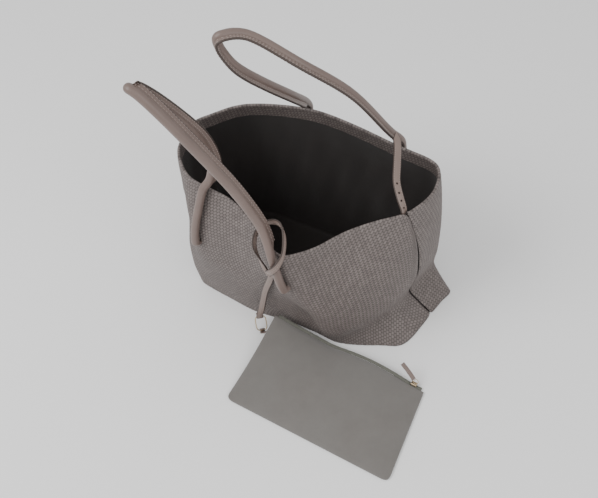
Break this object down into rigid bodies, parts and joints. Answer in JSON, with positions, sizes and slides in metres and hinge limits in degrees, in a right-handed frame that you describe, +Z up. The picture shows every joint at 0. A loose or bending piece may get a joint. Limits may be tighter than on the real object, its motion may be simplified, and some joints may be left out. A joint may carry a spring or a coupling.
{
  "type": "tote bag with tethered zip pouch",
  "caption": "Soft woven leather tote, open at the top, with rolled leather handles, a closing strap and a flat suede zip pouch on a leather tether.",
  "frame": {"origin": "middle of the base on the surface the bag stands on", "axes": "+X along the base to the right as seen from the front, -Y the front, +Z up"},
  "size_m": [0.4679, 0.3866, 0.5153],
  "materials": {
    "woven_leather": "woven, matt",
    "handle_leather": "smooth, satin",
    "dark_lining": "matt cloth",
    "suede": "suede, matt",
    "zip_tape": "matt tape",
    "aged_brass": "aged, satin"
  },
  "bodies": {
    "root": {"front_panel": "woven_leather", "back_panel": "woven_leather", "base_panel": "woven_leather", "lining": "dark_lining", "front_handle": "handle_leather", "back_handle": "handle_leather", "closing_strap": "handle_leather", "counter_strap": "handle_leather", "strap_stud": "aged_brass", "tether": "handle_leather", "tether_ring": "aged_brass", "pouch_tab": "handle_leather", "pouch_front": "suede", "pouch_back": "suede", "zip_tape_front": "zip_tape", "zip_tape_back": "zip_tape", "zip_slider": "aged_brass", "puller_ring": "aged_brass", "zip_puller": "handle_leather"}
  },
  "joints": []
}
